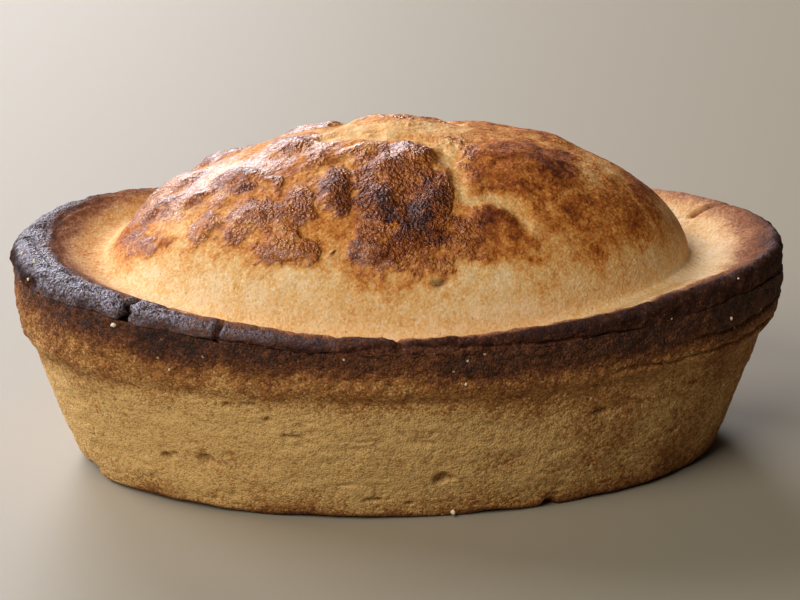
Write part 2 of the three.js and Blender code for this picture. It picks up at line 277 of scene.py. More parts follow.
# Loose crumbs: on the wall by angle in degrees and height, on the lid by plan place; and the size of each
WALL_CRUMBS = (
    (192.4, 29.8, 0.30), (221.2, 28.5, 0.36), (308.2, 28.6, 0.22), (322.8, 25.5, 0.22),
    (231.4, 23.2, 0.16), (275.8, 22.4, 0.20), (275.8, 0.8, 0.36), (309.2, 28.0, 0.14),
    (70.0, 22.0, 0.25), (110.0, 27.0, 0.3),
)
LID_CRUMBS = (
    (-52.7, -3.6, 0.22), (-51.0, -7.4, 0.18), (-53.2, -10.2, 0.20), (-51.5, -7.2, 0.36),
    (-49.5, -14.8, 0.13), (45.0, -19.5, 0.16), (-30.0, 27.0, 0.22),
)
CRUMB = {"stretch": 0.3, "dent": 0.35, "dent_cell": 0.5, "sunk": 0.5}
CRUMB_SEEDS = {"first": 200, "step": 7}

# Noises by what they shape, each a sum of rows: strength, cell in millimetres, layers, seed. The rim's
# grain and tone are shared by case and lid, so that they join where the seam is shut.
NOISES = {
    "lip": [(0.3, 9.0, 1, 11)],
    "seam": [(0.35, 6.0, 2, 12)],
    "foot_lift": [(1.0, 5.0, 1, 17)],
    "wall": [(0.22, 11.0, 2, 21)],
    "flakes": [(0.13, 2.2, 3, 31)],
    "flake_grain": [(0.06, 0.8, 1, 35)],
    "rim_grain": [(0.24, 1.9, 3, 41), (0.16, 0.8, 1, 45)],
    "crack_bend": [(0.45, 2.2, 1, 51)],
    "cracks": [(1.0, 1.1, 1, 52)],
    "torn": [(1.0, 2.6, 1, 53)],
    "pit_edge": [(0.45, 1.1, 1, 61), (0.25, 0.6, 1, 62)],
    "groove_bend": [(0.6, 6.0, 1, 63), (0.25, 1.5, 1, 64)],
    "lip_bend": [(0.5, 5.0, 1, 65)],
    "lip_shade": [(1.0, 4.0, 1, 66)],
    "rim_tone": [(0.5, 3.4, 1, 71), (0.35, 1.2, 1, 72), (0.25, 0.6, 1, 73)],
    "wall_tone": [(0.08, 9.0, 3, 74)],
    "foot_tone": [(1.1, 7.0, 1, 75)],
    "warp_x": [(0.9, 3.6, 1, 81), (0.5, 1.5, 1, 82)],
    "warp_y": [(0.9, 3.6, 1, 83), (0.5, 1.5, 1, 84)],
    "slit_bend": [(0.15, 0.9, 1, 85)],
    "ragged": [(0.18, 2.2, 1, 86), (0.20, 0.9, 1, 87)],
    "strip_bend": [(0.25, 1.6, 1, 88)],
    "dome_lumps": [(0.20, 3.6, 3, 91)],
    "dome_grain": [(0.10, 1.6, 3, 93)],
    "dome_crinkle": [(0.20, 0.9, 1, 96)],
    "rim_wrinkles": [(1.0, 1.3, 1, 101)],
    "rim_waves": [(0.14, 2.0, 1, 102)],
    "rim_lumps": [(0.22, 3.8, 2, 103)],
    "break_bend": [(0.6, 1.5, 1, 106)],
    "dome_cloud": [(0.06, 6.0, 3, 114)],
    "mottle": [(0.16, 1.3, 1, 115), (0.16, 0.7, 1, 116)],
    "dome_foot": [(0.06, 6.0, 1, 117), (0.05, 1.8, 1, 118)],
}

# Mesh rows and columns
CASE_COLUMNS = 800
LID_COLUMNS = 640
BASE_SHARES = (0.3, 0.6, 0.85, 0.95)
FOOT_ROWS = 6
WALL_ROWS = 62
STEP_ROWS = 16
BAND_ROWS = 28
SEAM_ROWS = 4
EDGE_ROWS = 10
CREST_ROWS = 10
FLANGE_ROWS = 26
DOME_ROWS = 98
DOME_ROW_POWER = 1.1
CRUMB_ROWS = 5
CRUMB_COLUMNS = 8

# Cloudy noises of the finishes: cell in millimetres and detail
CLOUDS = {
    "crumb": (1.1, 5.0), "case_cloud": (6.0, 3.0), "case_fleck": (0.26, 2.0), "lid_cloud": (4.0, 3.0),
    "lid_fleck": (0.32, 2.0), "crinkle": (0.42, 1.0), "loose_crumb": (0.35, 2.0),
}

# Grains of the crumb, and a shift in metres that keeps their lattice off the tart's middle
GRAIN_SIZE = 0.34
GRAIN_SHIFT = (0.3137, 0.2719, 0.1933)
# Where the painted shade between the grains and in the crumb's gaps begins and is full
GRAIN_GAP_SHADE = (0.55, 0.95)
CRUMB_GAP_SHADE = (0.42, 0.26)
CRUST_BUMP = 0.55
CRUMB_BUMP = 0.08
SUBSURFACE_RADIUS = (1.0, 0.55, 0.25)

# Stage, in metres. Lights: name, place, size, colour
FLOOR_REACH = 6.0
LIGHTS = (
    ("window", (-0.66, 0.40, 0.46), 0.46, (0.90, 0.91, 1.0)),
    ("back", (-0.20, 0.84, 0.40), 0.50, (0.92, 0.92, 1.0)),
    ("fill", (-0.50, -0.56, 0.66), 0.60, (1.0, 0.97, 0.91)),
)
LIGHT_AIM = (0.0, 0.0, 0.03)
ROOM_COLOUR = (1.0, 0.84, 0.62, 1.0)

# Camera: seen from a little left of the front, looking down; the picture is 800 pixels wide
VIEW = {"azimuth": -5.7, "elevation": 20.5, "distance": 479.8, "target": 22.08, "focal_pixels": 3339.0}
PICTURE_WIDTH = 800
SENSOR_WIDTH = 36.0
NEAR_CLIP = 0.01

# Mixing of lattice points into random numbers
HASH_FACTORS = np.array([73856093, 19349663, 83492791], dtype=np.uint64)
LOW_BITS = np.uint64(0xFFFFFFFF)


# Arithmetic on whole arrays

def ramp(low, high, value):
    """A smooth cubic step: 0 at low and before it, 1 at high and past it. Low may be the larger."""
    share = np.clip((value - low) / (high - low), 0.0, 1.0)
    return share * share * (3.0 - 2.0 * share)


def mix(a, b, share):
    """The value a share of the way from a to b."""
    return a + (b - a) * share


def smooth_max(a, b, blend):
    """The larger of two heights, rounded where they cross within the blend."""
    share = np.clip(0.5 + 0.5 * (a - b) / blend, 0.0, 1.0)
    return mix(b, a, share) + blend * share * (1.0 - share)


def steps(count):
    """Shares from 1/count to 1, as a column, for the rows of one stretch of a profile."""
    return (np.arange(1, count + 1) / count)[:, None]


def by_angle(angles, table):
    """A value read off a table of angles in degrees, straight between them and closed round."""
    degrees, values = zip(*table)
    return np.interp(np.degrees(angles), degrees, values, period=360.0)


def lattice_value(cells, seed):
    """A fixed random number from -1 to 1 for each whole-numbered lattice point, by mixing its bits."""
    mixed = (cells.astype(np.uint64) * HASH_FACTORS).sum(-1) + np.uint64(seed * 2654435761)
    for shift, factor in ((15, 0x2C1B3C6D), (12, 0x297A2D39)):
        mixed = ((mixed ^ (mixed >> np.uint64(shift))) * np.uint64(factor)) & LOW_BITS
    mixed ^= mixed >> np.uint64(15)
    return mixed.astype(float) / 0x7FFFFFFF - 1.0


def noise(points, cell, seed):
    """Value noise from -1 to 1: random lattice values, blended across each cell by a quintic fade."""
    scaled = points / cell
    low = np.floor(scaled).astype(np.int64)
    part = scaled - low
    fade = part ** 3 * (part * (part * 6.0 - 15.0) + 10.0)
    total = np.zeros(points.shape[:-1])
    for corner in product((0, 1), repeat=3):
        weight = np.where(corner, fade, 1.0 - fade).prod(-1)
        total += weight * lattice_value(low + np.array(corner), seed)
    return total


def layered(points, cell, layers, seed):
    """Noise in layers, each with half the cell and half the strength of the one before."""
    return sum(noise(points, cell / 2 ** layer, seed + layer) / 2 ** layer for layer in range(layers))


def rough(points, name):
    """A noise by its name in the table: the sum of its rows at each point."""
    return sum(strength * layered(points, *row) for strength, *row in NOISES[name])


def gap_degrees(angles, centre):
    """Signed angle in degrees from a centre, the short way round."""
    return (np.degrees(angles) - centre + 180.0) % 360.0 - 180.0


def between(angles, first, last, fade):
    """1 from a first angle in degrees to a last one, faded out towards both of them."""
    degrees = np.degrees(angles)
    return ramp(first, first + fade, degrees) * ramp(last, last - fade, degrees)


def oval_reach(x, y, oval):
    """How far out a point lies in a turned oval: 0 at its middle, 1 on its edge."""
    centre_x, centre_y, half_length, half_width, turn = oval
    cos = math.cos(math.radians(turn))
    sin = math.sin(math.radians(turn))
    along = ((x - centre_x) * cos + (y - centre_y) * sin) / half_length
    across = ((y - centre_y) * cos - (x - centre_x) * sin) / half_width
    return np.hypot(along, across)


def path_distance(x, y, path):
    """Distance from each point to a path of straight stretches."""
    nearest = np.full(np.shape(x), np.inf)
    for (x0, y0), (x1, y1) in zip(path, path[1:]):
        length2 = (x1 - x0) ** 2 + (y1 - y0) ** 2
        share = np.clip(((x - x0) * (x1 - x0) + (y - y0) * (y1 - y0)) / length2, 0.0, 1.0)
        nearest = np.minimum(nearest, np.hypot(x - mix(x0, x1, share), y - mix(y0, y1, share)))
    return nearest


class TartForm:
    """The tart's smooth form: functions of the angle round it, counted from the right-hand end."""

    def __init__(self, sizes):
        self.rim_half = (sizes.rim_half_length / MM, sizes.rim_half_width / MM)
        self.base_half = (sizes.base_half_length / MM, sizes.base_half_width / MM)
        self.dome_top = sizes.dome_top / MM
        self.unevenness = sizes.unevenness

    def crest_height(self, angles):
        """The top of the rim: a mean height with slow waves round it."""
        return (CREST["mean"] + CREST["saddle"] * np.cos(2 * angles) - CREST["lean"] * np.cos(angles)
                - CREST["quarter"] * np.cos(4 * angles) - CREST["twist"] * np.sin(2 * angles))

    def lip_height(self, angles):
        """Where the tin's lip ended: a mean height with one slow wave."""
        return LIP["mean"] + LIP["saddle"] * np.cos(2 * angles)

    def lid_edge(self, angles):
        """Thickness of the lid's edge: a mean with slow waves."""
        return (LID_EDGE["mean"] + LID_EDGE["saddle"] * np.cos(2 * angles)
                + LID_EDGE["lean"] * np.cos(angles))

    def seam_height(self, angles):
        """The lower edge of the lid, which wanders a little round the rim."""
        wander = rough(self.on_plan(angles, 1.0, 0.0, 0.0), "seam")
        return self.crest_height(angles) - self.lid_edge(angles) + wander

    def seam_round(self, angles):
        """The seam gapes at both ends and has baked closed along the front."""
        away = np.abs(gap_degrees(angles, SEAM_BAKED["angle"]))
        opening = ramp(SEAM_BAKED["half_width"], SEAM_BAKED["half_width"] + SEAM_BAKED["fade"], away)
        return mix(SEAM_ROUND["baked"], SEAM_ROUND["open"], opening)

    def crest_inset(self, angles):
        """How far the crest lies inside the rim's outline: a mean, less at the right end."""
        return CREST_INSET["mean"] - CREST_INSET["lean"] * np.cos(angles)

    def rim_wave(self, angles):
        """Shallow waves in the rim's plan, none at its ends and sides."""
        strength = RIM_WAVE["even"] + RIM_WAVE["swing"] * np.sin(3 * angles + RIM_WAVE["turn"])
        return RIM_WAVE["height"] * (0.5 - 0.5 * np.cos(4 * angles)) * strength

    def arc(self, angles):
        """Length of one degree along the wall, halfway up."""
        half_length = mix(self.base_half[0], self.rim_half[0], 0.5)
        half_width = mix(self.base_half[1], self.rim_half[1], 0.5)
        return np.hypot(half_length * np.sin(angles), half_width * np.cos(angles)) * math.pi / 180.0

    def on_plan(self, angles, share, inset, height):
        """A point on the oval plan: a share of the way from foot to rim, then moved inwards."""
        half_length = mix(self.base_half[0], self.rim_half[0], share) - inset
        half_width = mix(self.base_half[1], self.rim_half[1], share) - inset
        x = half_length * np.cos(angles)
        y = half_width * np.sin(angles)
        return np.stack(np.broadcast_arrays(x, y, height), -1)

    def flare(self, lip_heights):
        """The wall's flare: nearly straight up to the lip, then a step out to the rim band."""
        wall = LIP_SHARE * (lip_heights + WALL_BULGE * lip_heights * (1.0 - lip_heights))
        band = mix(BAND["share"], 1.0, ramp(BAND["foot"], BAND["full"], lip_heights))
        return mix(wall, band, ramp(*STEP, lip_heights))

    def on_wall(self, angles, height, inset):
        """The outside of wall and rim band at one height."""
        share = self.flare(height / self.lip_height(angles))
        return self.on_plan(angles, share, inset + share * self.rim_wave(angles), height)

    def seat_rings(self, angles):
        """Where case and lid meet: from flat across the middle up behind the seam, inside to outside."""
        rings = []
        for inset, drop in SEAT_INSETS:
            ring = self.on_wall(angles, self.seam_height(angles), inset)
            ring[..., 2] = mix(self.seam_height(angles), SEAT_HEIGHT, drop)
            rings.append(ring)
        return np.stack(rings)

    def dome_height(self, x, reach, valley):
        """A power of the oval bowl over the valley, fuller at the right end than at the left."""
        power = DOME_POWER["mean"] - DOME_POWER["lean"] * np.tanh((x - DOME["x"]) / DOME_POWER["reach"])
        bowl = valley + (self.dome_top - valley) * np.clip(1.0 - reach ** 2, 0.0, 1.0) ** power
        return np.where(reach < 1.0, bowl, valley - DOME_SKIRT * (reach - 1.0))

    def on_lid(self, angles, reach):
        """The lid's upper face without its relief. Reach is 0 in the dome's middle, 1 at its foot and 2 on
        the crest."""
        inner = np.minimum(reach, 1.0)
        outer = np.maximum(reach - 1.0, 0.0)
        inset = self.crest_inset(angles) + self.rim_wave(angles)
        dome_x = DOME["x"] + inner * DOME["half_length"] * np.cos(angles)
        dome_y = inner * DOME["half_width"] * np.sin(angles)
        x = mix(dome_x, (self.rim_half[0] - inset) * np.cos(angles), outer)
        y = mix(dome_y, (self.rim_half[1] - inset) * np.sin(angles), outer)
        crest = self.crest_height(angles)
        valley = crest - VALLEY_DROP
        flange = mix(valley, crest, ramp(0.0, 1.0, outer))
        z = smooth_max(self.dome_height(x, reach, valley), flange, VALLEY_BLEND)
        return np.stack(np.broadcast_arrays(x, y, z), -1)


def ring_angles(columns):
    """Even angles once round, from 0 and without the closing one."""
    return np.arange(columns) * 2.0 * math.pi / columns


def grid_normals(points):
    """Unit normals of a grid whose columns close round and whose rows climb: across times up."""
    across = np.roll(points, -1, 1) - np.roll(points, 1, 1)
    up = np.gradient(points, axis=0)
    normals = np.cross(across, up)
    return normals / np.maximum(np.linalg.norm(normals, axis=-1, keepdims=True), 1e-9)


def spread_rows(field, before, after):
    """Repeats a field's first and last rows over the rows added below and above it."""
    return np.concatenate([np.repeat(field[:1], before, 0), field, np.repeat(field[-1:], after, 0)])


# The case

def case_surface(form):
    """Flat base, rounded foot, flared wall, step, rim band, rounded edge and the seat under the lid.
    The smooth form is moved along its normals by slow unevenness, crumb, cracks and pits."""
    angles = ring_angles(CASE_COLUMNS)
    lip = form.lip_height(angles) + rough(form.on_plan(angles, 0.7, 0.0, 0.0), "lip")
    seam = form.seam_height(angles)
    edge = form.seam_round(angles)
    foot_turn = np.linspace(0.0, math.pi / 2, FOOT_ROWS)[:, None]
    edge_turn = steps(SEAM_ROWS) * math.pi / 2
    heights = np.concatenate([
        np.broadcast_to(FOOT_ROUND * (1.0 - np.cos(foot_turn)), (FOOT_ROWS, CASE_COLUMNS)),
        mix(FOOT_ROUND, STEP[0] * lip, steps(WALL_ROWS)),
        mix(STEP[0] * lip, STEP[1] * lip, steps(STEP_ROWS)),
        mix(STEP[1] * lip, seam - edge, steps(BAND_ROWS)),
        seam - edge + edge * np.sin(edge_turn),
    ])
    insets = np.zeros_like(heights)
    insets[:FOOT_ROWS] = FOOT_ROUND * (1.0 - np.sin(foot_turn))
    insets[-SEAM_ROWS:] = edge * (1.0 - np.cos(edge_turn))
    outside = form.on_wall(angles, heights, insets)
    normals = grid_normals(outside)
    normals[-SEAM_ROWS:] = normals[-SEAM_ROWS - 1]
    relief, hollow = case_relief(form, angles, outside, heights)
    toast = case_toast(angles, outside, heights, lip, seam)

    lift = rough(outside[0], "foot_lift") + FOOT_LIFT["spread"]
    lift = FOOT_LIFT["height"] * np.clip(lift, 0.0, 1.0)
    for centre, half_width, rise in FOOT_NOTCHES:
        away = np.abs(gap_degrees(angles, centre) * form.arc(angles)) / half_width
        lift = np.maximum(lift, rise * ramp(1.0, 0.3, away))
    outside = outside + normals * relief[..., None]
    outside[..., 2] += lift * ramp(FOOT_LIFT["from"], FOOT_LIFT["to"], heights)
    outside[..., 2] = np.maximum(outside[..., 2], 0.0)

    base = np.stack([outside[0] * np.array([share, share, 0.0]) for share in BASE_SHARES])
    seat = form.seat_rings(angles)[::-1]
    points = np.concatenate([base, outside, seat])
    fields = {"toast": toast, "hollow": hollow}
    fields = {name: spread_rows(field, len(base), len(seat)) for name, field in fields.items()}
    return points, fields, (0.0, 0.0, 0.0), (0.0, 0.0, SEAT_HEIGHT)


def case_relief(form, angles, points, heights):
    """Relief of the case outside in millimetres, and the painted shade of its hollows at each point, from 0
    to 1.
    """
    lip = form.lip_height(angles)
    band = ramp(0.97, 1.10, heights / lip)
    level = points * np.array([0.5, 0.5, 1.0])
    flakes = rough(level, "flakes") + rough(points, "flake_grain")
    low = ramp(6.0, 1.5, heights)
    torn = ramp(0.0, 0.5, rough(points, "torn") + 0.15 * np.cos(angles) + 0.35 * low)
    veins = np.abs(rough(level + rough(points, "crack_bend")[..., None], "cracks"))
    cracks = ramp(CRACK["half_width"], 0.0, veins) * torn * (1.0 - band)
    # Painted shade in the cracks and painted contact shadow along the bottom edge
    hollow = np.maximum(HOLLOW_SHADE["crack"] * cracks, HOLLOW_SHADE["foot"] * ramp(0.9, 0.2, heights))
    relief = rough(points, "wall") + flakes * (1.0 - band) + rough(points, "rim_grain") * band
    relief = relief - CRACK["depth"] * cracks
    wobble = 1.0 + rough(points, "pit_edge")
    for centre, height, half_width, half_height, depth in WALL_PITS:
        away = gap_degrees(angles, centre) * form.arc(angles)
        reach = np.hypot(away / half_width, (heights - height) / half_height) * wobble
        pit = ramp(*PIT_EDGE, reach)
        relief = relief - depth * pit
        # Painted shade in the pit
        hollow = np.maximum(hollow, HOLLOW_SHADE["pit"] * pit)
    away = np.abs(heights - LIP_SHADE["share"] * lip + rough(points, "lip_bend"))
    under_lip = ramp(LIP_SHADE["half_width"], 0.0, away) * ramp(-0.2, 0.4, rough(points, "lip_shade"))
    hollow = np.maximum(hollow, HOLLOW_SHADE["lip"] * under_lip)
    over_lip = heights - lip + rough(points, "groove_bend")
    for height, first, last, depth in BAND_GROOVES:
        groove = ramp(GROOVE["half_width"], 0.0, np.abs(over_lip - height))
        groove = groove * between(angles, first, last, GROOVE["fade"])
        relief = relief - depth * groove
        # Painted shade in the groove
        hollow = np.maximum(hollow, HOLLOW_SHADE["groove"] * groove)
    return relief * ramp(0.0, 1.0, heights) * form.unevenness, hollow


def case_toast(angles, points, heights, lip, seam):
    """Browning of the case from 0, pale sand, to 1, nearly black: it grows from the lip up to the seam."""
    below = (seam - heights) / (seam - lip) - by_angle(angles, BAND_DEEP)
    tone = rough(points, "rim_tone")
    fade = 0.38 * ramp(0.75, 0.0, below + 0.12 * tone) + 0.62 * ramp(1.25, 0.1, below + 0.14 * tone)
    dark = by_angle(angles, BAND_TOAST) * fade
    golden = CASE_TOAST["golden"] * ramp(1.65, 0.75, below + 0.14 * tone)
    foot = CASE_TOAST["foot"] * ramp(6.5, 0.5, heights + rough(points, "foot_tone"))
    # Darker bottom edge: partly toasting, partly painted contact shadow
    foot = foot + CASE_TOAST["foot_edge_toast_and_shade"] * ramp(1.8, 0.2, heights)
    # Darker right side of the wall: partly toasting, partly painted shade
    right = CASE_TOAST["right"] * ramp(-0.1, 0.9, np.cos(angles)) * ramp(0.9, 1.4, below)
    return np.clip(np.maximum(dark, golden) + foot + rough(points, "wall_tone") + right, 0.0, 1.0)


# The lid

def lid_surface(form):
    """The seat, the rounded lower edge, the outer edge, the crest, the flange and the dome.
    The smooth form is moved along its normals by blisters, furrows, breaks and wrinkles."""
    angles = ring_angles(LID_COLUMNS)
    seam = form.seam_height(angles)
    crest = form.crest_height(angles)
    wave = form.rim_wave(angles)
    inset = form.crest_inset(angles)
    edge = form.seam_round(angles)
    edge_turn = np.linspace(0.0, math.pi / 2, SEAM_ROWS)[:, None]
    low = form.on_wall(angles, seam + edge * (1.0 - np.cos(edge_turn)), edge * (1.0 - np.sin(edge_turn)))
    shoulder = form.on_plan(angles, 1.0, wave, crest - CREST_RISE * inset)
    side = mix(low[-1], shoulder, steps(EDGE_ROWS)[..., None])
    crest_turn = steps(CREST_ROWS) * math.pi / 2
    roll = form.on_plan(angles, 1.0, wave + inset * (1.0 - np.cos(crest_turn)),
                        crest - CREST_RISE * inset * (1.0 - np.sin(crest_turn)))
    reaches = np.concatenate([2.0 - steps(FLANGE_ROWS), 1.0 - steps(DOME_ROWS)[:-1] ** DOME_ROW_POWER])
    smooth = np.concatenate([low, side, roll, form.on_lid(angles, reaches)])
    reaches = spread_rows(reaches, len(smooth) - len(reaches), 0)
    normals = grid_normals(smooth)
    normals[:SEAM_ROWS] = normals[SEAM_ROWS]

    places = LidPlaces(form, angles, smooth, reaches)
    patches = LidPatches(places)
    relief = (dome_relief(places, patches) + rim_relief(places, patches)) * form.unevenness
    points = smooth + normals * relief[..., None]
    seat = form.seat_rings(angles)
    fields = {name: spread_rows(field, len(seat), 0) for name, field in lid_fields(places, patches).items()}
    points = np.concatenate([seat, points])
    return points, fields, (0.0, 0.0, SEAT_HEIGHT), tuple(points[-1].mean(0))


class LidPlaces:
    """What the lid's relief and baking are worked out from, at every point of its smooth grid."""

    def __init__(self, form, angles, points, reach):
        self.angles = angles
        self.points = points
        self.reach = reach
        self.x, self.y, self.z = np.moveaxis(points, -1, 0)
        self.plan = points * np.array([1.0, 1.0, 0.0])
        outer = form.on_plan(angles, 1.0, 0.0, 0.0)
        self.from_rim = np.hypot(outer[..., 0], outer[..., 1]) - np.hypot(self.x, self.y)
        self.under_crest = form.crest_height(angles) - self.z
        self.arc = form.arc(angles)
        self.left = 0.5 - 0.5 * np.cos(angles)
        self.on_dome = ramp(*RELIEF_EDGE, reach)
        self.can_brown = ramp(*BROWNING_EDGE, reach)
        smooth = ramp(SMOOTH_SIDE["from"], SMOOTH_SIDE["to"], self.x)
        self.crinkled = mix(1.0, SMOOTH_SIDE["share"], smooth)
        self.on_flange = ramp(2.0, 1.9, reach) * ramp(0.95, 1.05, reach)
        self.warped_x = self.x + rough(points, "warp_x")
        self.warped_y = self.y + rough(points, "warp_y")
        self.ragged = rough(points, "ragged")
        along = np.radians(gap_degrees(angles, 0.0)) * UNROLLED_RADIUS
        self.unrolled = np.stack(np.broadcast_arrays(along, self.from_rim, self.z), -1)

    def covered(self, patches, edge, middle):
        """The strongest of some oval patches at each point, full in the middle and faded out at the
        edge."""
        cover = np.zeros_like(self.x)
        for *oval, strength in patches:
            away = oval_reach(self.warped_x, self.warped_y, oval) + self.ragged
            cover = np.maximum(cover, strength * ramp(edge, middle, away))
        return cover


class LidPatches:
    """Where the dome has risen, browned, split or stayed pale, each from 0 to about 1."""

    def __init__(self, places):
        x = places.warped_x
        y = places.warped_y
        self.swell = np.zeros_like(x)
        self.brown = np.zeros_like(x)
        for *oval, rise, browning in BLISTERS:
            away = oval_reach(x, y, oval)
            self.swell += rise * np.clip(1.0 - away ** 2, 0.0, 1.0) ** 2
            self.brown = np.maximum(self.brown, browning * ramp(1.6, 0.5, away + places.ragged))
        self.tan = places.covered(TANNED, 1.6, 0.4)
        self.pale = places.covered(PALE, 1.4, 0.5)
        self.glaze = places.covered(GLAZED, 1.3, 0.5)
        distance = np.minimum.reduce([path_distance(x, y, path) for path in FURROW_PATHS])
        self.split = 1.0 - ramp(0.1, 1.3, distance / FURROW["half_width"] + places.ragged)
        ragged_y = places.y + rough(places.plan, "slit_bend")
        self.slit = np.clip(1.5 - 1.5 * oval_reach(places.x, ragged_y, DOME_SLIT), 0.0, 1.0)
        away = path_distance(places.x, places.y, CREASE_PATH) / CREASE["half_width"]
        self.crease = (1.0 - ramp(0.1, 1.0, away)) * places.on_flange
        past_strip = places.under_crest - by_angle(places.angles, EDGE_STRIP)
        past_strip = past_strip + rough(places.points, "strip_bend")
        outside = ramp(1.6, 0.8, places.from_rim)
        self.under_strip = ramp(-0.15, 0.25, past_strip) * outside
        self.strip_line = ramp(0.4, 0.0, np.abs(past_strip)) * outside
        sway = rough(places.points, "break_bend")
        self.breaks = np.zeros_like(x)
        for centre, half_width, depth in RIM_BREAKS:
            away = (gap_degrees(places.angles, centre) * places.arc + sway) / half_width
            self.breaks = np.maximum(self.breaks, depth * np.clip(1.0 - away ** 2, 0.0, 1.0))
        self.breaks *= ramp(6.0, 2.5, places.from_rim)


def dome_relief(places, patches):
    """Blisters, furrows, lumps and fine crinkles of the dome, in millimetres."""
    baked = np.maximum(patches.brown, patches.tan)
    lumps = rough(places.points, "dome_lumps") * ramp(0.25, 0.5, baked)
    wrinkled = places.points * np.array([0.6, 1.0, 1.0])
    crinkle = np.abs(rough(wrinkled, "dome_crinkle")) * ramp(0.36, 0.55, baked)
    rise = patches.swell - FURROW["depth"] * patches.split + rough(places.points, "dome_grain")
    rise = rise + (lumps + crinkle) * places.crinkled
    return places.on_dome * rise - SLIT_DEPTH * patches.slit


def rim_relief(places, patches):
    """Wrinkles along the roll, lumps, granular outer edge, breaks and the crease, in millimetres."""
    left = places.left
    right = 1.0 - left
    top = ramp(0.8, 2.2, places.from_rim)
    rim = ramp(9.0, 4.0, places.from_rim)
    folds = ramp(0.35, 0.0, np.abs(rough(places.unrolled, "rim_wrinkles")))
    wrinkles = top * (0.10 * left - 0.42 * left * folds + rough(places.unrolled, "rim_waves"))
    front = np.maximum(-np.sin(places.angles), 0.0)
    back = ramp(-0.2, 0.3, np.sin(places.angles))
    grain = rough(places.points, "rim_grain") * mix(1.0, 0.25 + 0.45 * front * right, top)
    grain = grain * (1.0 - 0.7 * back * right * ramp(2.5, 0.8, places.under_crest))
    sag = SAG["depth"] * between(places.angles, SAG["from"], SAG["to"], SAG["fade"])
    lumps = (rough(places.points, "rim_lumps") - sag) * top
    cuts = patches.breaks + CREASE["depth"] * patches.crease + 0.25 * patches.strip_line
    return rim * (wrinkles + lumps + grain) - cuts


def lid_fields(places, patches):
    """Browning, charring, ash with its painted sheen, gloss and the painted shade of the lid's hollows,
    each from 0 to 1.
    """
    points = places.points
    tone = rough(points, "rim_tone")
    char_reach = by_angle(places.angles, CHAR_REACH)
    char_depth = by_angle(places.angles, CHAR_DEPTH)
    char_full = by_angle(places.angles, CHAR_FULL)
    edge = places.from_rim + 0.8 * tone * ramp(0.0, 2.0, places.from_rim)
    char = char_depth * np.clip((char_reach - edge) / (char_reach - char_full), 0.0, 1.0) ** 2
    char = np.maximum(char, char_depth * ramp(1.8, 0.5, edge))
    char = char * (1.0 - 0.20 * np.maximum(tone, 0.0))
    char = char * (1.0 - 0.30 * places.left * ramp(1.0, 3.2, places.under_crest))
    char = mix(char, np.minimum(char, EDGE_TOAST), patches.under_strip)
    cleft = np.clip(patches.breaks, 0.0, 1.0)
    # Grey on the charred rim: partly ash, partly painted sheen of light on the char
    ash = by_angle(places.angles, ASH_AND_SHEEN) * ramp(0.30, 0.7, char) * (1.0 - cleft)
    ash = ash * ramp(-0.3, 1.1, places.from_rim + 0.8 * tone)
    tan_reach = by_angle(places.angles, RIM_TAN_REACH)
    rim_tan = by_angle(places.angles, RIM_TAN) * ramp(tan_reach, char_full, edge)
    soft_reach = places.reach + rough(points, "dome_foot")
    gold = DOME_GOLD["browning"] * ramp(DOME_GOLD["from"], DOME_GOLD["to"], soft_reach)
    mottle = 1.0 + rough(points, "mottle")
    spots = np.maximum(patches.tan, patches.brown)
    baked = np.maximum(gold, spots) * mottle
    baked = baked * (1.0 - FURROW["pale"] * patches.split) * (1.0 - patches.pale)
    browning = LID_TONE + rough(points, "dome_cloud") + baked * places.can_brown
    browning = np.maximum(browning, rim_tan * ramp(0.9, 1.05, places.reach))
    browning = np.maximum(browning, CREASE["browning"] * patches.crease)
    valley = ramp(*LEFT_VALLEY["turn"], -np.cos(places.angles)) * ramp(*LEFT_VALLEY["inside"], places.reach)
    valley = valley * ramp(*LEFT_VALLEY["outside"], places.reach)
    browning = browning + LEFT_VALLEY["browning"] * valley
    whole = (1.0 - patches.split) * places.on_dome
    gloss = ramp(*GLOSSY, spots * mottle) * places.crinkled * (1.0 - 0.25 * ramp(0.60, 0.85, baked))
    gloss = np.maximum(gloss, patches.glaze * mottle) * whole
    # Painted shade in the crease, along the edge strip's lower line, in the breaks and in the slit
    dark = {"crease": patches.crease, "strip": patches.strip_line, "break": cleft}
    hollow = np.maximum.reduce([patches.slit, *(HOLLOW_SHADE[name] * field for name, field in dark.items())])
    fields = {"browning": browning, "char": char, "ash": ash, "gloss": gloss, "hollow": hollow}
    return {name: np.clip(field, 0.0, 1.0) for name, field in fields.items()}


# Meshes

def rings_and_poles(rows, columns):
    """Faces of a closed body of rings: quads between the rings, and a fan to each of the two poles."""
    column = np.arange(columns)
    after = (column + 1) % columns
    row = np.arange(rows - 1)[:, None] * columns
    above = row + columns
    quads = np.stack([row + column, row + after, above + after, above + column], -1).reshape(-1, 4)
    last = (rows - 1) * columns
    pole = rows * columns
    bottom = np.stack([np.full(columns, pole), after, column], -1)
    top = np.stack([np.full(columns, pole + 1), last + column, last + after], -1)
    return quads, np.concatenate([bottom, top])


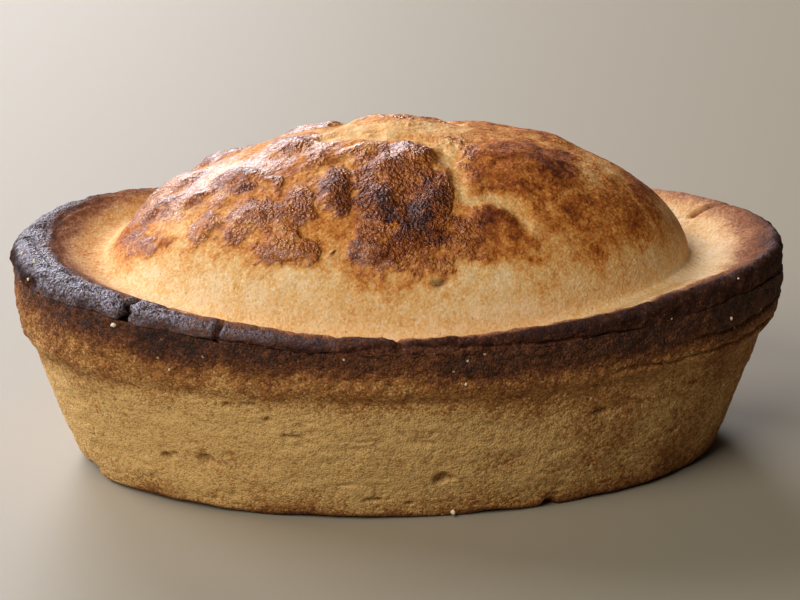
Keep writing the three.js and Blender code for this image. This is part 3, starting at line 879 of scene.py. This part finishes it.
def build_mesh(name, vertices, quads, triangles):
    """A smooth-shaded mesh in metres from vertices in millimetres."""
    corners = np.concatenate([quads.ravel(), triangles.ravel()]).astype(np.int32)
    sizes = np.concatenate([np.full(len(quads), 4), np.full(len(triangles), 3)])
    mesh = bpy.data.meshes.new(name)
    mesh.vertices.add(len(vertices))
    mesh.vertices.foreach_set("co", (vertices * MM).astype(np.float32).ravel())
    mesh.loops.add(len(corners))
    mesh.loops.foreach_set("vertex_index", corners)
    mesh.polygons.add(len(sizes))
    mesh.polygons.foreach_set("loop_start", (np.cumsum(sizes) - sizes).astype(np.int32))
    mesh.update(calc_edges=True)
    if mesh.validate():
        raise RuntimeError(f"{name}: the mesh had faults")
    mesh.shade_smooth()
    return mesh


def crust_mesh(name, points, fields, bottom, top):
    """A closed crust from its grid, with each field kept as a number at every vertex."""
    rows, columns, _ = points.shape
    vertices = np.concatenate([points.reshape(-1, 3), [bottom, top]])
    mesh = build_mesh(name, vertices, *rings_and_poles(rows, columns))
    for field_name, field in fields.items():
        values = np.concatenate([field.ravel(), [field[0].mean(), field[-1].mean()]])
        attribute = mesh.attributes.new(field_name, "FLOAT", "POINT")
        attribute.data.foreach_set("value", values.astype(np.float32))
    return mesh


def lump(centre, size, seed):
    """Vertices of one crumb: a ball of rings, dented by noise of its own."""
    turn = (np.arange(1, CRUMB_ROWS + 1) / (CRUMB_ROWS + 1) - 0.5)[:, None] * math.pi
    around = ring_angles(CRUMB_COLUMNS)
    x = np.cos(turn) * np.cos(around)
    y = np.cos(turn) * np.sin(around)
    ball = np.stack(np.broadcast_arrays(x, y, np.sin(turn)), -1)
    ball = np.concatenate([ball.reshape(-1, 3), [(0.0, 0.0, -1.0), (0.0, 0.0, 1.0)]])
    stretch = 1.0 + CRUMB["stretch"] * lattice_value(np.arange(9).reshape(3, 3), seed)
    dents = 1.0 + CRUMB["dent"] * noise(ball, CRUMB["dent_cell"], seed)
    return np.array(centre) + size * ball * stretch * dents[:, None]


def crumbs_mesh(name, spots):
    """Every crumb in one mesh, from a list of places and sizes."""
    quads, triangles = rings_and_poles(CRUMB_ROWS, CRUMB_COLUMNS)
    count = CRUMB_ROWS * CRUMB_COLUMNS + 2
    seeds = CRUMB_SEEDS["first"] + CRUMB_SEEDS["step"] * np.arange(len(spots))
    lumps = [lump(centre, size, int(seed)) for (centre, size), seed in zip(spots, seeds)]
    offsets = np.arange(len(spots))[:, None, None] * count
    quads = (quads + offsets).reshape(-1, 4)
    triangles = (triangles + offsets).reshape(-1, 3)
    return build_mesh(name, np.concatenate(lumps), quads, triangles)


def add_piece(mesh, material, node=None):
    """Links a mesh as a piece of the tart that rides on its one body and may stand for a node."""
    mesh.materials.append(material)
    piece = bpy.data.objects.new(mesh.name, mesh)
    bpy.context.scene.collection.objects.link(piece)
    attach(piece, "root")
    if node:
        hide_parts(node)
    return piece


def resting_spot(crust, guess, size):
    """Where a crumb of a size rests on a crust near a place in millimetres."""
    found, place, normal, _ = bpy.data.objects[crust].closest_point_on_mesh(Vector(guess) * MM)
    if not found:
        raise RuntimeError(f"{crust}: no surface near {guess}")
    return tuple(place / MM + normal * size * CRUMB["sunk"]), size


# Finishes

class Wire:
    """A value in a finish under construction: arithmetic on wires adds the Math nodes for it."""

    def __init__(self, finish, socket):
        self.finish = finish
        self.socket = socket

    def math(self, operation, first, second):
        return self.finish.node("ShaderNodeMath", {"operation": operation}, {0: first, 1: second})

    def __add__(self, other):
        return self.math("ADD", self, other)

    __radd__ = __add__

    def __sub__(self, other):
        return self.math("SUBTRACT", self, other)

    def __rsub__(self, other):
        return self.math("SUBTRACT", other, self)

    def __mul__(self, other):
        return self.math("MULTIPLY", self, other)

    __rmul__ = __mul__

    def ramp(self, low, high):
        """A smooth step of this value, 0 at low and 1 at high."""
        sockets = {"Value": self, "From Min": low, "From Max": high}
        return self.finish.node("ShaderNodeMapRange", {"interpolation_type": "SMOOTHSTEP"}, sockets)


class Finish:
    """A node material: every node comes from one method, and expressions of wires join them."""

    def __init__(self, name):
        self.material = bpy.data.materials.new(name)
        self.material.use_nodes = True
        self.tree = self.material.node_tree
        self.shader = self.tree.nodes["Principled BSDF"]
        place = self.node("ShaderNodeTexCoord", output="Object")
        self.place = self.node("ShaderNodeVectorMath", {"operation": "ADD"}, {0: place, 1: GRAIN_SHIFT})

    def node(self, kind, settings=None, sockets=None, output=0):
        made = self.tree.nodes.new(kind)
        for key, value in (settings or {}).items():
            if key == "stops":
                self.set_stops(made.color_ramp, value)
            else:
                setattr(made, key, value)
        for key, value in (sockets or {}).items():
            self.feed(made.inputs[key], value)
        return Wire(self, made.outputs[output])

    def set_stops(self, color_ramp, stops):
        while len(color_ramp.elements) < len(stops):
            color_ramp.elements.new(1.0)
        for element, (position, colour) in zip(color_ramp.elements, stops):
            element.position = position
            element.color = (*colour, 1.0)

    def feed(self, socket, value):
        if isinstance(value, Wire):
            self.tree.links.new(value.socket, socket)
        else:
            socket.default_value = value

    def set(self, **sockets):
        for key, value in sockets.items():
            self.feed(self.shader.inputs[key.replace("_", " ")], value)

    def lay_over(self, share, shader):
        """Another shader laid over the first one by a share."""
        first = Wire(self, self.shader.outputs["BSDF"])
        mixed = self.node("ShaderNodeMixShader", None, {0: share, 1: first, 2: shader})
        self.feed(self.tree.nodes["Material Output"].inputs["Surface"], mixed)

    def field(self, name):
        return self.node("ShaderNodeAttribute", {"attribute_name": name}, output="Fac")

    def cloud(self, name):
        """Cloudy noise from 0 to 1, by its name in the table."""
        cell, detail = CLOUDS[name]
        sockets = {"Vector": self.place, "Scale": 1.0 / (cell * MM), "Detail": detail}
        return self.node("ShaderNodeTexNoise", None, sockets)

    def kernels(self, cell, output="Distance"):
        """Rounded cells of a size in millimetres: the distance from each one's middle, or its colour."""
        sockets = {"Vector": self.place, "Scale": 1.0 / (cell * MM)}
        return self.node("ShaderNodeTexVoronoi", {"feature": "F1"}, sockets, output)

    def specks(self, cell, size, choice):
        """Round specks with soft edges in the middle of some of the rounded cells."""
        return self.kernels(cell).ramp(*size) * self.kernels(cell, "Color").ramp(*choice)

    def colours(self, share, stops):
        return self.node("ShaderNodeValToRGB", {"stops": stops}, {"Fac": share})

    def blend(self, share, first, second, kind="MIX"):
        """The second colour laid over the first by a share."""
        settings = {"data_type": "RGBA", "blend_type": kind}
        return self.node("ShaderNodeMix", settings, {0: share, 6: first, 7: second}, output=2)

    def bump(self, height, depth):
        """A normal from a height field whose full range is a depth in millimetres."""
        sockets = {"Height": height, "Distance": depth * MM, "Strength": 1.0}
        return self.node("ShaderNodeBump", None, sockets)


def opaque(colour):
    """A colour with full alpha, for a colour socket."""
    return (*colour, 1.0)


def case_finish(colours):
    """Matt sandy shortcrust: pale gold, toasted to brown and black by the toast field, in grains with
    painted shade in the gaps between them and a few pale specks."""
    finish = Finish("shortcrust_case")
    toast = finish.field("toast")
    hollow = finish.field("hollow")
    crumb = finish.cloud("crumb")
    cloud = finish.cloud("case_cloud")
    fleck = finish.cloud("case_fleck")
    kernel = finish.kernels(GRAIN_SIZE)
    sand = finish.kernels(GRAIN_SIZE, "Color")
    shade = toast + (cloud - 0.5) * 0.34 + (crumb - 0.5) * (0.32 + toast * 0.3)
    shade = shade + (fleck - 0.5) * (0.30 + toast * 0.1) + (sand - 0.5) * 0.34
    base = finish.colours(shade, [
        (0.02, colours.sand), (0.26, colours.sand_toasted), (0.48, colours.rim_brown),
        (0.72, colours.rim_dark), (0.95, colours.rim_black),
    ])
    # Painted shade between the grains, in the crumb's gaps and in the hollows
    painted_gap_shade = kernel.ramp(*GRAIN_GAP_SHADE) * 0.35 + crumb.ramp(*CRUMB_GAP_SHADE) * 0.5 + hollow * 0.65
    base = finish.blend(painted_gap_shade, base, opaque(colours.painted_shade_tint), "MULTIPLY")
    speck = finish.specks(1.7, (0.13, 0.09), (0.66, 0.70))
    base = finish.blend(speck * 0.7, base, opaque(colours.pale_grain))
    height = crumb * (0.62 + toast * 0.4) - kernel * (0.18 + toast * 0.25) + fleck * 0.24 - hollow * 0.3
    finish.set(Base_Color=base, Roughness=0.85 - toast * 0.10, Normal=finish.bump(height, CRUST_BUMP))
    finish.set(Specular_IOR_Level=0.30, Subsurface_Weight=0.05, Subsurface_Scale=0.0010)
    finish.set(Subsurface_Radius=SUBSURFACE_RADIUS)
    return finish.material


def lid_finish(colours):
    """Egg-washed crust: pale gold to deep brown by the browning field, glossy and crinkled where it is
    brown, dark where the rim is charred and grey where it has turned to ash, a grey that is partly painted
    sheen; with painted shade in its gaps and hollows."""
    finish = Finish("egg_washed_lid")
    browning = finish.field("browning")
    char = finish.field("char")
    gloss = finish.field("gloss")
    ash = finish.field("ash")
    hollow = finish.field("hollow")
    crumb = finish.cloud("crumb")
    fleck = finish.cloud("lid_fleck")
    cloud = finish.cloud("lid_cloud")
    crinkle = finish.cloud("crinkle")
    kernel = finish.kernels(GRAIN_SIZE)
    sand = finish.kernels(GRAIN_SIZE, "Color")
    shade = browning + (crumb - 0.5) * (0.14 + browning * 0.32) + (cloud - 0.5) * 0.36
    shade = shade + (fleck - 0.5) * 0.22 + (sand - 0.5) * 0.26
    crust = finish.colours(shade, [
        (0.0, colours.lid_pale), (0.18, colours.lid_gold), (0.36, colours.lid_honey),
        (0.53, colours.lid_amber), (0.73, colours.lid_brown), (0.98, colours.lid_dark),
    ])
    speckle = (crumb - 0.5) * 0.40 + (fleck - 0.5) * 0.34 + (sand - 0.5) * 0.36
    heat = char + speckle * (0.25 + char)
    burnt = finish.colours(heat, [
        (0.04, colours.rim_blush), (0.26, colours.rim_mauve), (0.60, colours.rim_dark),
        (0.90, colours.rim_black),
    ])
    scorch = char.ramp(0.0, 0.22)
    base = finish.blend(scorch, crust, burnt)
    # Grey laid on the char: partly ash, partly painted sheen
    dust_and_sheen = ash * (fleck * 0.55 + sand * 0.25 + crumb * 0.2).ramp(0.42, 0.60) * 0.66
    base = finish.blend(dust_and_sheen, base, opaque(colours.rim_ash_and_sheen))
    freckle = finish.specks(1.4, (0.14, 0.07), (0.60, 0.66))
    base = finish.blend(freckle * 0.6, base, opaque(colours.lid_amber))
    # Painted shade between the grains, in the crumb's gaps and in the hollows, deeper on the char
    painted_gap_shade = kernel.ramp(*GRAIN_GAP_SHADE) * (0.15 + char * 0.4) + crumb.ramp(*CRUMB_GAP_SHADE) * (0.2 + char * 0.4)
    painted_gap_shade = painted_gap_shade + hollow * 0.95
    base = finish.blend(painted_gap_shade, base, opaque(colours.painted_shade_tint), "MULTIPLY")
    shine = gloss + ash * 0.60
    roughness = 0.76 - shine * 0.52 + (cloud - 0.5) * 0.12
    height = crumb * (0.36 + char * 0.5) + fleck * (0.16 + char * 0.2)
    height = height + crinkle * (shine * 1.5) - kernel * (0.06 + char * 0.2)
    normal = finish.bump(height, CRUST_BUMP)
    coat = gloss * browning.ramp(0.75, 0.52) * 0.35
    finish.set(Base_Color=base, Roughness=roughness, Normal=normal, Coat_Weight=coat, Coat_Roughness=0.28)
    finish.set(Specular_IOR_Level=0.45, Subsurface_Weight=0.08, Subsurface_Scale=0.0015)
    finish.set(Subsurface_Radius=SUBSURFACE_RADIUS)
    matt = {"Base Color": base, "Roughness": 0.95, "Specular IOR Level": 0.10, "Normal": normal}
    dull = browning.ramp(0.30, 0.45) * gloss.ramp(0.3, 0.05) * 0.7
    dry = scorch * ash.ramp(0.5, 0.1) + (1.0 - scorch) * dull
    finish.lay_over(dry, finish.node("ShaderNodeBsdfPrincipled", None, matt))
    return finish.material


def crumb_finish(colours):
    """Pale dry crumbs with a little grain."""
    finish = Finish("dry_crumb")
    grain = finish.cloud("loose_crumb")
    base = finish.colours(grain, [(0.3, colours.pale_grain), (0.7, colours.crumb_pale)])
    finish.set(Base_Color=base, Roughness=0.7, Normal=finish.bump(grain, CRUMB_BUMP))
    return finish.material


def floor_finish(colours):
    """A plain pale floor."""
    finish = Finish("pale_floor")
    finish.set(Base_Color=opaque(colours.floor), Roughness=0.6)
    return finish.material


# Properties

def from_srgb(value):
    """One channel of a scene colour from the 0 to 255 value that a screen shows."""
    share = value / 255
    return share / 12.92 if share <= 0.04045 else ((share + 0.055) / 1.055) ** 2.4


def length_property(name, description, default):
    return FloatProperty(name=name, description=description, default=default, min=0.0,
                         subtype="DISTANCE", unit="LENGTH")


def power_property(name, description, default):
    return FloatProperty(name=name, description=description, default=default, min=0.0, unit="POWER")


def colour_property(name, description, screen_values):
    default = tuple(from_srgb(value) for value in screen_values)
    return FloatVectorProperty(name=name, description=description, default=default, subtype="COLOR",
                               size=3, min=0.0, max=1.0)


class TartSizes(PropertyGroup):
    """Sizes of the tart."""
    rim_half_length: length_property("Rim half-length", "From the middle to the rim's end", CAD_HALF.x)
    rim_half_width: length_property("Rim half-width", "From the middle to the rim's side", CAD_HALF.y)
    base_half_length: length_property("Base half-length", "From the middle to the base's end",
                                      BASE_HALF[0] * MM)
    base_half_width: length_property("Base half-width", "From the middle to the base's side",
                                     BASE_HALF[1] * MM)
    dome_top: length_property("Dome top", "Height of the smooth dome without its blisters", DOME_TOP * MM)
    unevenness: FloatProperty(name="Unevenness", description="Strength of all relief", default=1.0,
                              min=0.0, max=2.0)


class TartColours(PropertyGroup):
    """Colours of crust, rim, crumbs and floor."""
    sand: colour_property("Sand", "Pale wall of the case", (224, 182, 115))
    sand_toasted: colour_property("Toasted sand", "Wall just under the rim band", (172, 116, 58))
    rim_brown: colour_property("Rim brown", "Browned rim band", (118, 68, 34))
    rim_dark: colour_property("Rim dark", "Dark edge of the rim", (70, 39, 25))
    rim_black: colour_property("Rim black", "Charred rim", (38, 24, 22))
    rim_blush: colour_property("Rim blush", "Flange turning brown", (212, 162, 124))
    rim_mauve: colour_property("Rim mauve", "Flange next to the charred rim", (150, 98, 70))
    # Grey of the charred rim: partly ash, partly painted sheen
    rim_ash_and_sheen: colour_property("Rim ash", "Grey bloom on the charred rim", (182, 173, 192))
    pale_grain: colour_property("Pale grain", "Flour and sugar grains in the crumb", (240, 214, 168))
    crumb_pale: colour_property("Crumb pale", "Lightest side of a loose crumb", (250, 240, 220))
    # Tint of the painted shade in pits, cracks and gaps
    painted_shade_tint: colour_property("Gap tint", "Darkening of pits, cracks and gaps", (130, 96, 66))
    lid_pale: colour_property("Lid pale", "Unbrowned foot of the dome", (249, 215, 166))
    lid_gold: colour_property("Lid gold", "Lightly baked lid", (237, 188, 118))
    lid_honey: colour_property("Lid honey", "Baked lid", (216, 144, 68))
    lid_amber: colour_property("Lid amber", "Egg wash turning brown", (174, 95, 32))
    lid_brown: colour_property("Lid brown", "Brown blisters", (112, 50, 15))
    lid_dark: colour_property("Lid dark", "Darkest blisters", (56, 21, 9))
    floor: colour_property("Floor", "Floor under the tart", (162, 152, 133))


class TartLight(PropertyGroup):
    """Strength of the studio lights."""
    window: power_property("Window", "Large soft light from the left", 7.0)
    back: power_property("Back", "Soft light from behind", 7.0)
    fill: power_property("Fill", "Soft light from the front left", 7.2)
    room: FloatProperty(name="Room", description="Even light from all round", default=0.025, min=0.0)


# Operators

class TART_OT_pastry_case(Operator):
    """Add the flared shortcrust case"""
    bl_idname = "tart.pastry_case"
    bl_label = "Pastry case"

    def execute(self, context):
        mesh = crust_mesh("case_crust", *case_surface(TartForm(context.scene.tart_sizes)))
        add_piece(mesh, case_finish(context.scene.tart_colours), "pastry_case")
        return {"FINISHED"}


class TART_OT_pastry_lid(Operator):
    """Add the domed, egg-washed lid"""
    bl_idname = "tart.pastry_lid"
    bl_label = "Pastry lid"

    def execute(self, context):
        mesh = crust_mesh("lid_crust", *lid_surface(TartForm(context.scene.tart_sizes)))
        add_piece(mesh, lid_finish(context.scene.tart_colours), "pastry_lid")
        return {"FINISHED"}


class TART_OT_crumbs(Operator):
    """Add the loose crumbs on case and lid"""
    bl_idname = "tart.crumbs"
    bl_label = "Crumbs"

    def execute(self, context):
        form = TartForm(context.scene.tart_sizes)
        spots = [resting_spot("case_crust", form.on_wall(math.radians(angle), height, 0.0), size)
                 for angle, height, size in WALL_CRUMBS]
        spots += [resting_spot("lid_crust", (x, y, CREST["mean"]), size) for x, y, size in LID_CRUMBS]
        add_piece(crumbs_mesh("crumbs", spots), crumb_finish(context.scene.tart_colours))
        return {"FINISHED"}


class TART_OT_stage(Operator):
    """Add the floor, the lights and the camera"""
    bl_idname = "tart.stage"
    bl_label = "Stage"

    def execute(self, context):
        add_floor(context.scene.tart_colours)
        add_lights(context.scene.tart_light)
        add_camera(context.scene)
        return {"FINISHED"}


def add_floor(colours):
    """One large square on the ground."""
    corners = [(x * FLOOR_REACH, y * FLOOR_REACH, 0.0) for x, y in ((-1, -1), (1, -1), (1, 1), (-1, 1))]
    mesh = bpy.data.meshes.new("floor")
    mesh.from_pydata(corners, [], [(0, 1, 2, 3)])
    mesh.materials.append(floor_finish(colours))
    floor = bpy.data.objects.new("floor", mesh)
    bpy.context.scene.collection.objects.link(floor)


def add_area_light(name, place, size, power, colour):
    """A square light that faces the tart's middle."""
    data = bpy.data.lights.new(name, "AREA")
    data.size = size
    data.energy = power
    data.color = colour
    light = bpy.data.objects.new(name, data)
    light.location = place
    light.rotation_euler = (Vector(LIGHT_AIM) - Vector(place)).to_track_quat("-Z", "Y").to_euler()
    bpy.context.scene.collection.objects.link(light)


def add_lights(light):
    """The soft lights of the table, and an even warm light from the room."""
    for name, place, size, colour in LIGHTS:
        add_area_light(name, place, size, getattr(light, name), colour)
    world = bpy.data.worlds.new("room")
    world.use_nodes = True
    background = world.node_tree.nodes["Background"]
    background.inputs["Color"].default_value = ROOM_COLOUR
    background.inputs["Strength"].default_value = light.room
    bpy.context.scene.world = world


def add_camera(scene):
    """A camera at a distance from its target, back along the viewing direction."""
    data = bpy.data.cameras.new("camera")
    data.sensor_fit = "HORIZONTAL"
    data.sensor_width = SENSOR_WIDTH
    data.lens = SENSOR_WIDTH * VIEW["focal_pixels"] / PICTURE_WIDTH
    data.clip_start = NEAR_CLIP
    azimuth = math.radians(VIEW["azimuth"])
    elevation = math.radians(VIEW["elevation"])
    level = math.cos(elevation)
    back = Vector((math.sin(azimuth) * level, -math.cos(azimuth) * level, math.sin(elevation)))
    camera = bpy.data.objects.new("camera", data)
    camera.location = Vector((0.0, 0.0, VIEW["target"] * MM)) + back * VIEW["distance"] * MM
    camera.rotation_euler = (-back).to_track_quat("-Z", "Y").to_euler()
    scene.collection.objects.link(camera)
    scene.camera = camera
    scene.view_settings.view_transform = "Standard"


class TART_PT_sidebar(Panel):
    """The tart's sizes, colours, lights and pieces"""
    bl_label = "Custard tart"
    bl_idname = "TART_PT_sidebar"
    bl_space_type = "VIEW_3D"
    bl_region_type = "UI"
    bl_category = "Tart"

    def draw(self, context):
        for group in (context.scene.tart_sizes, context.scene.tart_colours, context.scene.tart_light):
            box = self.layout.box()
            for name in group.__annotations__:
                box.prop(group, name)
        for operator in OPERATORS:
            self.layout.operator(operator.bl_idname)


OPERATORS = (TART_OT_stage, TART_OT_pastry_case, TART_OT_pastry_lid, TART_OT_crumbs)
CLASSES = (TartSizes, TartColours, TartLight, *OPERATORS, TART_PT_sidebar)


def register():
    for item in CLASSES:
        bpy.utils.register_class(item)
    bpy.types.Scene.tart_sizes = PointerProperty(type=TartSizes)
    bpy.types.Scene.tart_colours = PointerProperty(type=TartColours)
    bpy.types.Scene.tart_light = PointerProperty(type=TartLight)


def unregister():
    del bpy.types.Scene.tart_light
    del bpy.types.Scene.tart_colours
    del bpy.types.Scene.tart_sizes
    for item in reversed(CLASSES):
        bpy.utils.unregister_class(item)


def main():
    register()
    bpy.ops.tart.stage()
    bpy.ops.tart.pastry_case()
    bpy.ops.tart.pastry_lid()
    bpy.ops.tart.crumbs()


if __name__ == "__main__":
    main()
